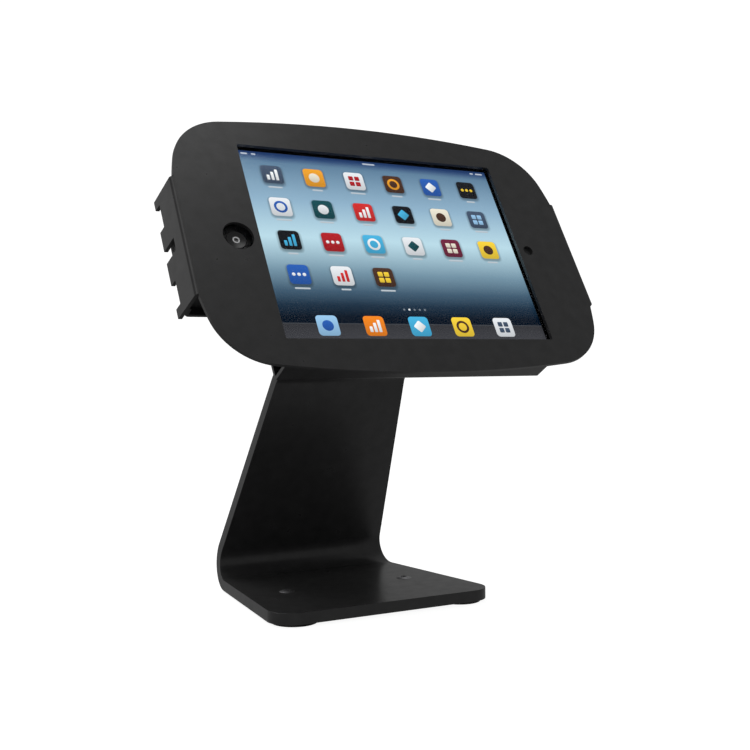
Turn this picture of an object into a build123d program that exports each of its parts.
from build123d import *
import math
import os

os.makedirs("parts", exist_ok=True)

# Sizes are in millimetres. Directions: X to the right seen from the front, Y to the back, Z up.
# Enclosure sizes are in its own plane: u right, v up, depth measured back from the face plate's front.

# Stand sheet
sheet_t = 6.4
base_len = 122.7
upright_len = 138.9
neck_len = 68.4
head_len = 62.0
base_front_half_w = 70.4
taper_share = 0.1085
upright_lean_deg = 28.0
tilt_deg = 30.46
lower_bend_r = 11.5
upper_bend_r = 11.5
head_bend_r = 6.6
base_corner_r = 14.0
head_corner_r = 14.0
stand_offset = 1.0

# Feet and their screws
foot_r = 12.8
foot_h = 1.6
foot_edge_r = 0.6
foot_front_x = 53.0
foot_front_y = 14.4
foot_rear_x = 44.0
foot_rear_y = 104.0
foot_screw_head_r = 3.4
foot_screw_head_h = 0.6
foot_sink_h = 0.9
foot_screw_r = 1.5
foot_screw_len = 4.6

# Countersunk base screws with raised heads
base_screw_x = 39.2
base_screw_y = 54.4
base_screw_r = 2.5
base_screw_head_r = 4.7
base_screw_dome_h = 1.0
base_hole_gap = 0.25
socket_share = 0.7

# Tablet: its display first, then its borders, its glass and its keys
display_w = 160.6
display_h = 120.4
display_t = 1.2
display_gap = 0.15
tablet_end_border = 19.7
tablet_edge_border = 7.15
tablet_t = 7.2
tablet_corner_r = 11.0
tablet_back_edge_r = 2.6
glass_depth = 3.3
glass_t = 0.8
glass_inset = 0.35
glass_gap = 0.2
mask_t = 0.3
home_button_r = 5.2
home_button_gap = 0.3
home_button_travel_room = 0.6
home_button_sink = 0.25
home_button_t = 1.6
home_button_dish = 0.35
front_camera_r = 1.6
rear_camera_inset = 10.3
rear_camera_r = 3.4
rear_camera_t = 0.5
key_t = 1.6
key_proud = 0.4
key_w = 2.4
key_gap = 0.1
key_setback = 0.6
power_key_inset = 15.4
power_key_len = 9.0
volume_key_inset = 38.0
volume_key_pitch = 13.0
volume_key_len = 9.0
port_w = 8.0
port_h = 2.6
port_rear = 2.6
port_sink = 4.0

# Face plate, with its opening around the display
face_t = 2.0
opening_end_gap = 0.7
opening_edge_gap = 0.55
opening_corner_r = 1.0
opening_shift = 0.6
face_shift = 0.8
face_end_border = 41.53
face_edge_border = 19.75
face_top_r = 732.0
face_side_r = 207.0
face_corner_r = 34.6
home_hole_border = 11.1
home_hole_r = 8.3
camera_hole_border = 7.2
camera_hole_r = 3.1
camera_blank_border = 2.0
camera_blank_t = 0.8

# Side flanges of the face plate
flange_inset = 1.18
flange_splay = 2.3
flange_half_h = 35.8
flange_depth = 22.8
flange_bend_r = 2.6
side_notch_h = 13.9
side_notch_v = 23.3
side_notch_floor = 17.5
mid_notch_h = 7.4
mid_notch_v = 0.7
mid_notch_floor = 10.2

# Rear tray
tray_t = 2.0
tray_depth = 22.8
tray_wing_gap = 0.8
tray_wing_half_h = 34.5
tray_wall_gap = 2.5
tray_wall_end = 0.1
tray_bend_r = 2.4

# Foam and plastic around the tablet
gasket_len = 150.0
gasket_w = 4.0
gasket_inset = 2.75
pad_w = 34.0
pad_h = 22.0
pad_u = 56.0
pad_v = 46.0
block_gap = 0.05
block_h = 15.0
block_v = 22.5
block_front_depth = 3.6

# Swivel
swivel_rise = 29.6
rotor_r = 38.0
rotor_t = 3.0
rotor_screw_pitch = 44.0
rotor_screw_r = 2.0
rotor_screw_head_r = 3.8
thread_gap = 0.05
friction_r = 30.0
friction_t = 1.0
pivot_r = 4.0
pivot_gap = 0.06
pivot_head_r = 7.5
pivot_head_h = 3.2
pivot_socket_r = 3.4
pivot_socket_h = 1.8
pivot_washer_r = 9.0
pivot_washer_t = 1.6
spring_washer_r = 8.0
spring_washer_t = 1.4
spring_washer_slit = 1.2
nut_af = 13.0
nut_h = 7.5
nut_corner_cut = 0.8
stop_pin_r = 2.2
stop_pin_radius = 18.0
stop_slot_gap = 0.3
stop_pin_len = 8.6

# Lock at the right wing, keeper on each flange, hook at the left wing
lock_inset = 15.35
lock_bore_r = 7.0
lock_gap = 0.06
lock_flange_r = 9.0
lock_flange_t = 1.8
lock_front_depth = 13.2
lock_nut_af = 19.0
lock_nut_t = 3.0
plug_r = 4.6
plug_gap = 0.05
key_slot_w = 1.2
key_slot_len = 6.0
key_slot_depth = 3.0
cam_t = 1.5
cam_w = 5.0
cam_reach = 10.8
cam_gap = 0.15
cam_hub_r = 5.6
cam_screw_r = 1.5
cam_screw_head_r = 2.8
cam_screw_head_h = 1.1
cam_screw_socket_r = 1.5
cam_screw_socket_h = 0.6
cam_screw_len = 5.5
keeper_t = 2.0
keeper_gap = 0.4
keeper_half_h = 6.0
keeper_reach = 7.25
keeper_foot_t = 2.2
keeper_foot_len = 5.0
hook_w = 14.0
hook_t = 1.5
hook_foot_len = 9.0
hook_reach = 11.8
hook_screw_r = 1.5
hook_screw_head_r = 2.7
hook_screw_head_h = 1.2
hook_screw_len = 3.5
hook_screw_v = 4.0

# Sizes that follow from those above
tablet_w = display_w + 2 * tablet_end_border
tablet_h = display_h + 2 * tablet_edge_border
opening_w = display_w + 2 * opening_end_gap
opening_h = display_h + 2 * opening_edge_gap
face_half_w = opening_w / 2 + face_end_border
face_half_h = opening_h / 2 + face_edge_border
home_hole_u = opening_w / 2 + home_hole_border
camera_hole_u = opening_w / 2 + camera_hole_border
flange_u = face_half_w - flange_inset
tray_wing_half_w = flange_u - tray_wing_gap
tray_body_half_w = display_w / 2 + tray_wall_end
tray_body_half_h = tablet_h / 2 + tray_wall_gap + tray_t
tray_inner_depth = tray_depth - tray_t
gasket_v = tablet_h / 2 - gasket_inset
rear_camera_u = tablet_w / 2 - rear_camera_inset
rear_camera_v = tablet_h / 2 - rear_camera_inset
power_key_v = tablet_h / 2 - power_key_inset
volume_key_u = tablet_w / 2 - volume_key_inset
lock_u = flange_u - lock_inset
hook_tip_u = lock_u + cam_reach
hook_riser_u = hook_tip_u - hook_reach
hook_screw_u = hook_riser_u - hook_foot_len / 2


def heading(angle_deg):
    a = math.radians(angle_deg)
    return Vector(0, math.cos(a), math.sin(a))


def outward(direction):
    return Vector(0, -direction.Z, direction.Y)


# The stand is one blank: each flat and bend starts where the last one ended
def flat(start, angle_deg, length, half_w, start_corner_r, end_corner_r):
    end_half_w = half_w - length * taper_share
    outline = Polygon((-half_w, 0), (half_w, 0), (end_half_w, length), (-end_half_w, length), align=None)
    if start_corner_r > 0:
        outline = fillet(outline.vertices().sort_by(Axis.Y)[:2], start_corner_r)
    if end_corner_r > 0:
        outline = fillet(outline.vertices().sort_by(Axis.Y)[-2:], end_corner_r)
    plane = Plane(origin=start, x_dir=(1, 0, 0), z_dir=outward(heading(angle_deg)))
    body = extrude(plane * outline, -sheet_t)
    return body, start + heading(angle_deg) * length, end_half_w


def cross_section(surface_point, angle_deg, half_w):
    mid = surface_point - outward(heading(angle_deg)) * (sheet_t / 2)
    return Plane(origin=mid, x_dir=(1, 0, 0), z_dir=heading(angle_deg)) * Rectangle(2 * half_w, sheet_t)


def bend(start, angle_deg, turn_deg, inner_r, half_w):
    side = 1 if turn_deg > 0 else -1
    mid_r = inner_r + sheet_t / 2
    centre = start + outward(heading(angle_deg)) * (side * mid_r - sheet_t / 2)
    end_half_w = half_w - mid_r * math.radians(abs(turn_deg)) * taper_share

    def mid_point(turned):
        return centre - outward(heading(angle_deg + turned)) * (side * mid_r)

    path = ThreePointArc(mid_point(0), mid_point(turn_deg / 2), mid_point(turn_deg))
    end_angle = angle_deg + turn_deg
    end = mid_point(turn_deg) + outward(heading(end_angle)) * (sheet_t / 2)
    profiles = [cross_section(start, angle_deg, half_w), cross_section(end, end_angle, end_half_w)]
    return sweep(profiles, path=path, multisection=True), end, end_half_w


upright_turn = 90 + upright_lean_deg
neck_turn = 90 - upright_lean_deg - tilt_deg
lower_setback = lower_bend_r * math.tan(math.radians(upright_turn / 2))
upper_setback = upper_bend_r * math.tan(math.radians(neck_turn / 2))
head_setback = head_bend_r + sheet_t
flats = [
    (base_len - lower_setback, base_corner_r, 0),
    (upright_len - lower_setback - upper_setback, 0, 0),
    (neck_len - upper_setback - head_setback, 0, 0),
    (head_len - head_setback, 0, head_corner_r),
]
bends = [(upright_turn, lower_bend_r), (neck_turn, upper_bend_r), (-90, head_bend_r)]


def make_stand_blank():
    point, angle, half_w = Vector(0, 0, 0), 0, base_front_half_w
    length, start_corner_r, end_corner_r = flats[0]
    blank, point, half_w = flat(point, angle, length, half_w, start_corner_r, end_corner_r)
    for (turn, inner_r), (length, start_corner_r, end_corner_r) in zip(bends, flats[1:]):
        curved, point, half_w = bend(point, angle, turn, inner_r, half_w)
        angle = angle + turn
        straight, point, half_w = flat(point, angle, length, half_w, start_corner_r, end_corner_r)
        blank = blank + curved + straight
    return blank


# The enclosure's plane follows from the stand: its axis meets the head above the head bend, and the
# stand's middle line is a little to the right of it
upright_dir = heading(upright_turn)
face_dir = heading(upright_turn + neck_turn)
plane_up = heading(90 - tilt_deg)
head_corner = Vector(0, base_len, 0) + upright_dir * upright_len + face_dir * neck_len
head_front_depth = tray_depth + rotor_t + friction_t
head_rear_depth = head_front_depth + sheet_t
axis_foot = head_corner - Vector(stand_offset, 0, 0)
face_centre = axis_foot + plane_up * swivel_rise + face_dir * head_front_depth
face_plane = Plane(origin=face_centre, x_dir=(1, 0, 0), z_dir=face_dir)


def slab(outline, front_depth, rear_depth):
    return extrude(Pos(0, 0, -rear_depth) * outline, rear_depth - front_depth)


def disc(u, v, radius, front_depth, rear_depth):
    return slab(Pos(u, v, 0) * Circle(radius), front_depth, rear_depth)


def box(u, v, width, height, front_depth, rear_depth):
    return slab(Pos(u, v, 0) * Rectangle(width, height), front_depth, rear_depth)


def hexagon(u, v, across_flats, front_depth, rear_depth):
    outline = RegularPolygon(across_flats / 2, 6, major_radius=False)
    return slab(Pos(u, v, 0) * outline, front_depth, rear_depth)


def cone(u, v, front_r, rear_r, front_depth, rear_depth):
    height = rear_depth - front_depth
    return Pos(u, v, -(front_depth + rear_depth) / 2) * Cone(rear_r, front_r, height)


# A countersunk screw with a hexagon socket, its head flush at the front depth
def sunk_screw(u, v, radius, head_r, front_depth, rear_depth):
    head_rear = front_depth + head_r - radius
    screw = cone(u, v, head_r, radius, front_depth, head_rear) + disc(u, v, radius, head_rear, rear_depth)
    return screw - hexagon(u, v, 2 * socket_share * radius, front_depth, front_depth + radius)


def sunk_hole(u, v, radius, head_r, gap, front_depth, rear_depth):
    hole = cone(u, v, head_r, radius, front_depth, front_depth + head_r - radius)
    return hole + disc(u, v, radius + gap, front_depth, rear_depth)


def dome(u, v, radius, height):
    ball_r = (radius ** 2 + height ** 2) / (2 * height)
    return disc(u, v, radius, -height, 0) & Pos(u, v, height - ball_r) * Sphere(ball_r)


# Outline of the face plate: four flat arcs joined by corner arcs that touch both neighbours
def circle_join(top_centre, top_gap, side_centre, side_gap):
    span = side_centre - top_centre
    along = (top_gap ** 2 - side_gap ** 2 + span.length ** 2) / (2 * span.length)
    across = math.sqrt(top_gap ** 2 - along ** 2)
    unit = span.normalized()
    return top_centre + unit * along + Vector(unit.Y, -unit.X) * across


def face_outline():
    top_centre = Vector(0, face_half_h - face_top_r)
    side_centre = Vector(face_half_w - face_side_r, 0)
    join = circle_join(top_centre, face_top_r - face_corner_r, side_centre, face_side_r - face_corner_r)
    top_way = (join - top_centre).normalized()
    side_way = (join - side_centre).normalized()
    top_end = join + top_way * face_corner_r
    side_end = join + side_way * face_corner_r
    corner_mid = join + (top_way + side_way).normalized() * face_corner_r

    def arc(start, middle, end):
        return ThreePointArc((start.X, start.Y), (middle.X, middle.Y), (end.X, end.Y))

    top = arc(Vector(-top_end.X, top_end.Y), Vector(0, face_half_h), top_end)
    right = arc(side_end, Vector(face_half_w, 0), Vector(side_end.X, -side_end.Y))
    corner = arc(top_end, corner_mid, side_end)
    upper = [top, corner, mirror(corner, Plane.YZ)]
    lower = [mirror(curve, Plane.XZ) for curve in upper]
    return make_face(Curve() + upper + lower + [right, mirror(right, Plane.YZ)])


# Side flange: an L section in the u-depth plane, extruded along v
splay_rate = flange_splay / flange_depth


def flange_outer_u(depth):
    return flange_u + splay_rate * depth


def flange_section():
    thick_u = face_t * math.hypot(1, splay_rate)
    inner_front = flange_outer_u(face_t) - thick_u
    inner_rear = flange_outer_u(flange_depth) - thick_u
    root_u = home_hole_u + home_hole_r + face_t
    outline = Polygon(
        (root_u, 0),
        (flange_u, 0),
        (flange_outer_u(flange_depth), -flange_depth),
        (inner_rear, -flange_depth),
        (inner_front, -face_t),
        (root_u, -face_t),
        align=None,
    )
    outline = fillet(outline.vertices().sort_by_distance((flange_u, 0))[0], flange_bend_r)
    inner_corner = outline.vertices().sort_by_distance((inner_front, -face_t))[0]
    return fillet(inner_corner, flange_bend_r - face_t)


def notch(v, height, floor_depth):
    width = 2 * (flange_splay + 2 * face_t)
    return box(flange_u, v, width, height, floor_depth, flange_depth)


def make_flange():
    body = extrude(Plane.XZ * flange_section(), flange_half_h, both=True)
    for v in (-side_notch_v, side_notch_v):
        body = body - notch(v, side_notch_h, side_notch_floor)
    return body - notch(mid_notch_v, mid_notch_h, mid_notch_floor)


def make_faceplate():
    plate = slab(Pos(-face_shift, 0) * face_outline(), 0, face_t)
    # The sheet beside each flange is cut back to the bend line
    right_cut = box(flange_u, 0, 2 * flange_bend_r, 2 * flange_half_h, 0, face_t)
    flange = make_flange()
    plate = plate - right_cut - mirror(right_cut, Plane.YZ) + flange + mirror(flange, Plane.YZ)
    opening = fillet(Rectangle(opening_w, opening_h).vertices(), opening_corner_r)
    plate = plate - slab(Pos(opening_shift, 0, 0) * opening, 0, face_t)
    plate = plate - disc(-home_hole_u, 0, home_hole_r, 0, face_t)
    plate = plate - disc(camera_hole_u, 0, camera_hole_r, 0, face_t)
    return plate


# The lock's cam stands just in front of the keeper, and the tray's wing walls end behind the keeper
cam_rear_depth = lock_front_depth - cam_gap
cam_front_depth = cam_rear_depth - cam_t
keeper_front_depth = cam_rear_depth + keeper_gap
wing_wall_depth = keeper_front_depth + keeper_t + keeper_gap


# Rear tray: two crossed U sections of one sheet
def u_section(half_w, wall_front_depth):
    inner_half_w = half_w - tray_t
    outer = round_bottomed(2 * half_w, wall_front_depth, tray_depth, tray_bend_r)
    return outer - round_bottomed(2 * inner_half_w, wall_front_depth, tray_inner_depth, tray_bend_r - tray_t)


def round_bottomed(width, front_depth, rear_depth, corner_r):
    outline = Pos(0, -(front_depth + rear_depth) / 2) * Rectangle(width, rear_depth - front_depth)
    return fillet(outline.vertices().sort_by(Axis.Y)[:2], corner_r)


half_pitch = rotor_screw_pitch / 2
rotor_screw_spots = [(u, v) for u in (-half_pitch, half_pitch) for v in (-half_pitch, half_pitch)]


def make_tray():
    wing_section = Plane.XZ * u_section(tray_wing_half_w, wing_wall_depth)
    wings = extrude(wing_section, tray_wing_half_h, both=True)
    body_section = Plane.YZ * u_section(tray_body_half_h, face_t)
    body = extrude(body_section, tray_body_half_w, both=True)
    tray = wings + body
    front, rear = tray_inner_depth, tray_depth
    tray = tray - disc(0, 0, pivot_r + pivot_gap, front, rear)
    for u, v in rotor_screw_spots:
        tray = tray - sunk_hole(u, v, rotor_screw_r, rotor_screw_head_r, thread_gap, front, rear)
    tray = tray - disc(lock_u, 0, lock_bore_r + lock_gap, front, rear)
    for v in (-hook_screw_v, hook_screw_v):
        tray = tray - disc(-hook_screw_u, v, hook_screw_r + thread_gap, front, rear)
    return tray


# Swivel
def make_rotor():
    front, rear = tray_depth, tray_depth + rotor_t
    rotor = disc(0, 0, rotor_r, front, rear) - disc(0, 0, pivot_r + pivot_gap, front, rear)
    rotor = rotor - disc(0, stop_pin_radius, stop_pin_r + thread_gap, front, rear)
    for u, v in rotor_screw_spots:
        rotor = rotor - disc(u, v, rotor_screw_r + thread_gap, front, rear)
    return rotor


stop_slot_r = stop_pin_r + stop_slot_gap


def stop_slot(front, rear):
    ring = Circle(stop_pin_radius + stop_slot_r) - Circle(stop_pin_radius - stop_slot_r)
    reach = stop_pin_radius + stop_slot_r
    outline = ring & Pos(0, reach / 2) * Rectangle(2 * reach, reach)
    for side in (-1, 1):
        outline = outline + Pos(side * stop_pin_radius, 0) * Circle(stop_slot_r)
    return slab(outline, front, rear)


def make_friction_disc():
    front, rear = head_front_depth - friction_t, head_front_depth
    return disc(0, 0, friction_r, front, rear) - disc(0, 0, stop_pin_radius + stop_slot_r, front, rear)


def make_pivot_bolt():
    end_depth = head_rear_depth + pivot_washer_t + spring_washer_t + nut_h
    head_front = tray_inner_depth - pivot_head_h
    bolt = disc(0, 0, pivot_head_r, head_front, tray_inner_depth)
    bolt = bolt + disc(0, 0, pivot_r, tray_inner_depth, end_depth)
    return bolt - hexagon(0, 0, 2 * pivot_socket_r, head_front, head_front + pivot_socket_h)


def make_pivot_washer():
    ring = Circle(pivot_washer_r) - Circle(pivot_r + pivot_gap)
    return slab(ring, head_rear_depth, head_rear_depth + pivot_washer_t)


def make_spring_washer():
    ring = Circle(spring_washer_r) - Circle(pivot_r + pivot_gap)
    slit = Pos(spring_washer_r / 2, 0) * Rectangle(spring_washer_r, spring_washer_slit)
    front = head_rear_depth + pivot_washer_t
    return slab(ring - slit, front, front + spring_washer_t)


# A hexagon nut with the corners of both ends cut off by a cone
def make_nut(u, v, across_flats, bore_r, front, rear):
    corner_r = across_flats / math.sqrt(3)
    blank = disc(u, v, corner_r, front, rear)
    blank = chamfer(blank.edges().filter_by(GeomType.CIRCLE), nut_corner_cut / 2, nut_corner_cut)
    nut = blank & hexagon(u, v, across_flats, front, rear)
    return nut - disc(u, v, bore_r + thread_gap, front, rear)


def make_pivot_nut():
    front = head_rear_depth + pivot_washer_t + spring_washer_t
    return make_nut(0, 0, nut_af, pivot_r, front, front + nut_h)


# Lock in the right wing
def make_lock_housing():
    housing = disc(lock_u, 0, lock_bore_r, lock_front_depth, tray_depth)
    housing = housing + disc(lock_u, 0, lock_flange_r, tray_depth, tray_depth + lock_flange_t)
    return housing - disc(lock_u, 0, plug_r + plug_gap, lock_front_depth, tray_depth + lock_flange_t)


def make_lock_nut():
    front = tray_inner_depth - lock_nut_t
    return make_nut(lock_u, 0, lock_nut_af, lock_bore_r, front, tray_inner_depth)


def make_lock_plug():
    rear = tray_depth + lock_flange_t
    plug = disc(lock_u, 0, plug_r, cam_rear_depth, rear)
    plug = plug - box(lock_u, 0, key_slot_w, key_slot_len, rear - key_slot_depth, rear)
    return plug - disc(lock_u, 0, cam_screw_r + thread_gap, cam_rear_depth, cam_rear_depth + cam_screw_len)


def make_lock_cam():
    arm = Pos(lock_u + (cam_reach - cam_w / 2) / 2, 0) * Rectangle(cam_reach - cam_w / 2, cam_w)
    tip = Pos(lock_u + cam_reach - cam_w / 2, 0) * Circle(cam_w / 2)
    outline = arm + tip + Pos(lock_u, 0) * Circle(cam_hub_r)
    cam = slab(outline, cam_front_depth, cam_rear_depth)
    return cam - disc(lock_u, 0, cam_screw_r + thread_gap, cam_front_depth, cam_rear_depth)


def make_cam_screw():
    head_front = cam_front_depth - cam_screw_head_h
    screw = disc(lock_u, 0, cam_screw_head_r, head_front, cam_front_depth)
    screw = screw + disc(lock_u, 0, cam_screw_r, cam_front_depth, cam_rear_depth + cam_screw_len)
    return screw - hexagon(lock_u, 0, 2 * cam_screw_socket_r, head_front, head_front + cam_screw_socket_h)


# Keeper: an angle on the inner face of a flange, its lip just behind the cam or the hook
def flange_inner_u(depth):
    return flange_outer_u(depth) - face_t * math.hypot(1, splay_rate)


def keeper_section():
    front = keeper_front_depth
    foot_front = front - keeper_foot_len
    return Polygon(
        (flange_inner_u(foot_front), -foot_front),
        (flange_inner_u(front + keeper_t), -front - keeper_t),
        (flange_inner_u(front) - keeper_reach, -front - keeper_t),
        (flange_inner_u(front) - keeper_reach, -front),
        (flange_inner_u(front) - keeper_foot_t, -front),
        (flange_inner_u(foot_front) - keeper_foot_t, -foot_front),
        align=None,
    )


# Foam and blocks around the tablet
glass_rear = glass_depth + glass_t
mask_rear = glass_rear + mask_t
tablet_rear = glass_depth + tablet_t


def tablet_outline(inset):
    outline = Rectangle(tablet_w - 2 * inset, tablet_h - 2 * inset)
    return Pos(opening_shift, 0) * fillet(outline.vertices(), tablet_corner_r - inset)


# A thin blank stuck behind the plate closes the hole in front of the tablet's camera
def make_camera_blank():
    return disc(camera_hole_u, 0, camera_hole_r + camera_blank_border, face_t, face_t + camera_blank_t)


def make_tablet_case():
    shell = slab(tablet_outline(0), glass_depth, tablet_rear)
    shell = fillet(shell.faces().sort_by(Axis.Z)[0].edges(), tablet_back_edge_r)
    shell = shell - slab(tablet_outline(glass_inset), glass_depth, mask_rear)
    display_rear = glass_rear + display_gap + display_t
    shell = shell - box(opening_shift, 0, display_w, display_h, mask_rear, display_rear)
    button_rear = glass_depth + home_button_sink + home_button_t + home_button_travel_room
    shell = shell - disc(-home_hole_u, 0, home_button_r + home_button_gap, mask_rear, button_rear)
    port_u = opening_shift - tablet_w / 2 + port_sink / 2
    port_rear_depth = tablet_rear - port_rear
    shell = shell - box(port_u, 0, port_sink, port_w, port_rear_depth - port_h, port_rear_depth)
    camera_front = tablet_rear - rear_camera_t
    shell = shell - disc(rear_camera_u, rear_camera_v, rear_camera_r, camera_front, tablet_rear)
    for pocket in key_pockets():
        shell = shell - pocket
    return shell


def glass_outline():
    button_hole = Pos(-home_hole_u, 0) * Circle(home_button_r + home_button_gap)
    return tablet_outline(glass_inset + glass_gap) - button_hole


def make_display():
    width = display_w - key_gap
    height = display_h - key_gap
    front = glass_rear + display_gap
    return box(opening_shift, 0, width, height, front, front + display_t)


def make_rear_camera():
    front = tablet_rear - rear_camera_t
    return disc(rear_camera_u, rear_camera_v, rear_camera_r - key_gap / 2, front, tablet_rear)


def make_glass():
    return slab(glass_outline(), glass_depth, glass_rear)


def make_mask():
    outline = glass_outline() - Pos(opening_shift, 0) * Rectangle(display_w, display_h)
    outline = outline - Pos(camera_hole_u, 0) * Circle(front_camera_r)
    return slab(outline, glass_rear, mask_rear)


def make_home_button():
    front = glass_depth + home_button_sink
    button = disc(-home_hole_u, 0, home_button_r, front, front + home_button_t)
    ball_r = (home_button_r ** 2 + home_button_dish ** 2) / (2 * home_button_dish)
    return button - Pos(-home_hole_u, 0, ball_r - front - home_button_dish) * Sphere(ball_r)


# Edge keys: power at the right end, two volume keys at the lower edge
key_depth = glass_depth + tablet_t / 2 + key_setback
power_u = opening_shift + tablet_w / 2 + key_proud - key_t / 2
volume_v = -tablet_h / 2 - key_proud + key_t / 2
volume_spots = [volume_key_u, volume_key_u + volume_key_pitch]


def key_at(u, v, width, height, gap):
    reach = key_w / 2 + gap
    return box(u, v, width + 2 * gap, height + 2 * gap, key_depth - reach, key_depth + reach)


def key_pockets():
    pocket_t = key_t + 2 * (key_proud + key_gap)
    pockets = [key_at(power_u, -power_key_v, pocket_t, power_key_len, key_gap)]
    for u in volume_spots:
        pockets.append(key_at(u, volume_v, volume_key_len, pocket_t, key_gap))
    return pockets


enclosure = {
    "faceplate": make_faceplate(),
    "camera_blank": make_camera_blank(),
    "rear_tray": make_tray(),
    "rotor_plate": make_rotor(),
    "friction_disc": make_friction_disc(),
    "pivot_bolt": make_pivot_bolt(),
    "pivot_washer": make_pivot_washer(),
    "spring_washer": make_spring_washer(),
    "pivot_nut": make_pivot_nut(),
    "stop_pin": disc(0, stop_pin_radius, stop_pin_r, tray_depth, tray_depth + stop_pin_len),
    "lock_housing": make_lock_housing(),
    "lock_nut": make_lock_nut(),
    "lock_plug": make_lock_plug(),
    "lock_cam": make_lock_cam(),
    "lock_cam_screw": make_cam_screw(),
    "tablet_case": make_tablet_case(),
    "tablet_glass": make_glass(),
    "tablet_border": make_mask(),
    "display_panel": make_display(),
    "home_button": make_home_button(),
    "front_camera": disc(camera_hole_u, 0, front_camera_r - key_gap / 2, glass_rear, mask_rear),
    "rear_camera": make_rear_camera(),
    "power_button": key_at(power_u, -power_key_v, key_t, power_key_len, 0),
    "volume_down_button": key_at(volume_spots[0], volume_v, volume_key_len, key_t, 0),
    "volume_up_button": key_at(volume_spots[1], volume_v, volume_key_len, key_t, 0),
}
for number, (u, v) in enumerate(rotor_screw_spots, 1):
    enclosure[f"rotor_screw_{number}"] = sunk_screw(
        u, v, rotor_screw_r, rotor_screw_head_r, tray_inner_depth, tray_depth + rotor_t
    )
for name, v in (("top", gasket_v), ("bottom", -gasket_v)):
    enclosure[f"gasket_{name}"] = box(opening_shift, v, gasket_len, gasket_w, face_t, glass_depth)
for number, (u_side, v_side) in enumerate(((-1, -1), (1, -1), (-1, 1), (1, 1)), 1):
    enclosure[f"rear_pad_{number}"] = box(
        u_side * pad_u, v_side * pad_v, pad_w, pad_h, tablet_rear, tray_inner_depth
    )

# End blocks between the tablet and the wing walls, one above and one below the lock and the hook
wing_inner_u = tray_wing_half_w - tray_t
for name, u_side in (("left", -1), ("right", 1)):
    tablet_end = u_side * opening_shift + tablet_w / 2
    block_end = wing_inner_u - (tray_bend_r - tray_t) - block_gap
    block_w = block_end - tablet_end - block_gap
    block_u = u_side * (block_end + tablet_end + block_gap) / 2
    for place, v_side in (("upper", 1), ("lower", -1)):
        enclosure[f"end_block_{name}_{place}"] = box(
            block_u, v_side * block_v, block_w, block_h, block_front_depth, tray_inner_depth
        )

# Keepers
enclosure["keeper_right"] = extrude(Plane.XZ * keeper_section(), keeper_half_h, both=True)
enclosure["keeper_left"] = mirror(enclosure["keeper_right"], Plane.YZ)

# Hook bracket at the left wing: foot on the tray, riser, tongue in front of the left keeper
def make_hook():
    tip_u = -hook_tip_u
    riser_u = -hook_riser_u
    foot_end_u = riser_u + hook_foot_len
    outline = Polygon(
        (tip_u, -cam_front_depth),
        (riser_u, -cam_front_depth),
        (riser_u, -tray_inner_depth + hook_t),
        (foot_end_u, -tray_inner_depth + hook_t),
        (foot_end_u, -tray_inner_depth),
        (riser_u - hook_t, -tray_inner_depth),
        (riser_u - hook_t, -cam_front_depth - hook_t),
        (tip_u, -cam_front_depth - hook_t),
        align=None,
    )
    hook = extrude(Plane.XZ * outline, hook_w / 2, both=True)
    foot_front = tray_inner_depth - hook_t
    for v in (-hook_screw_v, hook_screw_v):
        hook = hook - disc(-hook_screw_u, v, hook_screw_r + thread_gap, foot_front, tray_inner_depth)
    return hook


enclosure["hook_bracket"] = make_hook()
for name, v in (("lower", -hook_screw_v), ("upper", hook_screw_v)):
    head_rear = tray_inner_depth - hook_t
    screw = disc(-hook_screw_u, v, hook_screw_head_r, head_rear - hook_screw_head_h, head_rear)
    screw = screw + disc(-hook_screw_u, v, hook_screw_r, head_rear, head_rear + hook_screw_len)
    enclosure[f"hook_screw_{name}"] = screw


# Stand with its holes
def make_stand():
    stand = make_stand_blank()
    head_cut = disc(0, 0, pivot_r + pivot_gap, head_front_depth, head_rear_depth)
    head_cut = head_cut + stop_slot(head_front_depth, head_rear_depth)
    stand = stand - face_plane.location * head_cut
    for x in (-base_screw_x, base_screw_x):
        stand = stand - sunk_hole(x, base_screw_y, base_screw_r, base_screw_head_r, base_hole_gap, 0, sheet_t)
    for x, y in foot_spots.values():
        stand = stand - Pos(x, y, -sheet_t) * upright_cylinder(foot_screw_r + thread_gap, foot_screw_len)
    return stand


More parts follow.
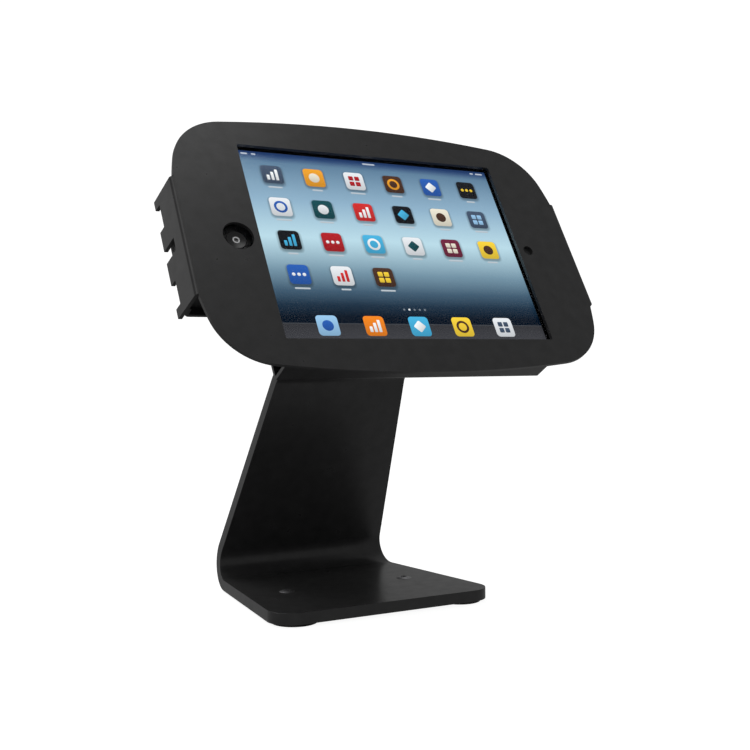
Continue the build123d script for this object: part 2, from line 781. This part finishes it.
def upright_cylinder(radius, height):
    return Cylinder(radius, height, align=(Align.CENTER, Align.CENTER, Align.MIN))


foot_spots = {
    "front_left": (-foot_front_x, foot_front_y),
    "front_right": (foot_front_x, foot_front_y),
    "rear_left": (-foot_rear_x, foot_rear_y),
    "rear_right": (foot_rear_x, foot_rear_y),
}


def make_foot():
    foot = upright_cylinder(foot_r, foot_h)
    foot = fillet(foot.faces().sort_by(Axis.Z)[0].edges(), foot_edge_r)
    foot = foot - upright_cylinder(foot_screw_head_r + thread_gap, foot_sink_h)
    return foot - upright_cylinder(foot_screw_r + thread_gap, foot_h)


def make_foot_screw():
    head = upright_cylinder(foot_screw_head_r, foot_screw_head_h)
    screw = Pos(0, 0, foot_sink_h - foot_screw_head_h) * head
    shank = upright_cylinder(foot_screw_r, foot_h - foot_sink_h + foot_screw_len)
    return screw + Pos(0, 0, foot_sink_h) * shank


def make_base_screw(x):
    cap = dome(x, base_screw_y, base_screw_head_r, base_screw_dome_h)
    screw = sunk_screw(x, base_screw_y, base_screw_r, base_screw_head_r, 0, sheet_t) + cap
    return screw - hexagon(x, base_screw_y, 2 * socket_share * base_screw_r, -base_screw_dome_h, base_screw_r)


parts = {"stand_sheet": make_stand()}
for place, (x, y) in foot_spots.items():
    parts[f"foot_{place}"] = Pos(x, y, -sheet_t - foot_h) * make_foot()
    parts[f"foot_screw_{place}"] = Pos(x, y, -sheet_t - foot_h) * make_foot_screw()
for name, x in (("left", -base_screw_x), ("right", base_screw_x)):
    parts[f"base_screw_{name}"] = make_base_screw(x)
for name, piece in enclosure.items():
    parts[name] = face_plane.location * piece

# The origin goes under the middle of the whole object, on the surface it stands on
whole = Compound(children=[Compound(piece.solids()) for piece in parts.values()]).bounding_box()
shift = Pos(-(whole.min.X + whole.max.X) / 2, -(whole.min.Y + whole.max.Y) / 2, -whole.min.Z)
for name, piece in parts.items():
    placed = shift * piece
    placed.label = name
    export_step(placed, f"parts/{name}.step")
print(len(parts), "pieces, size", whole.size)
print("base front edge at", shift.position, "face centre at", (shift * Location(face_centre)).position)
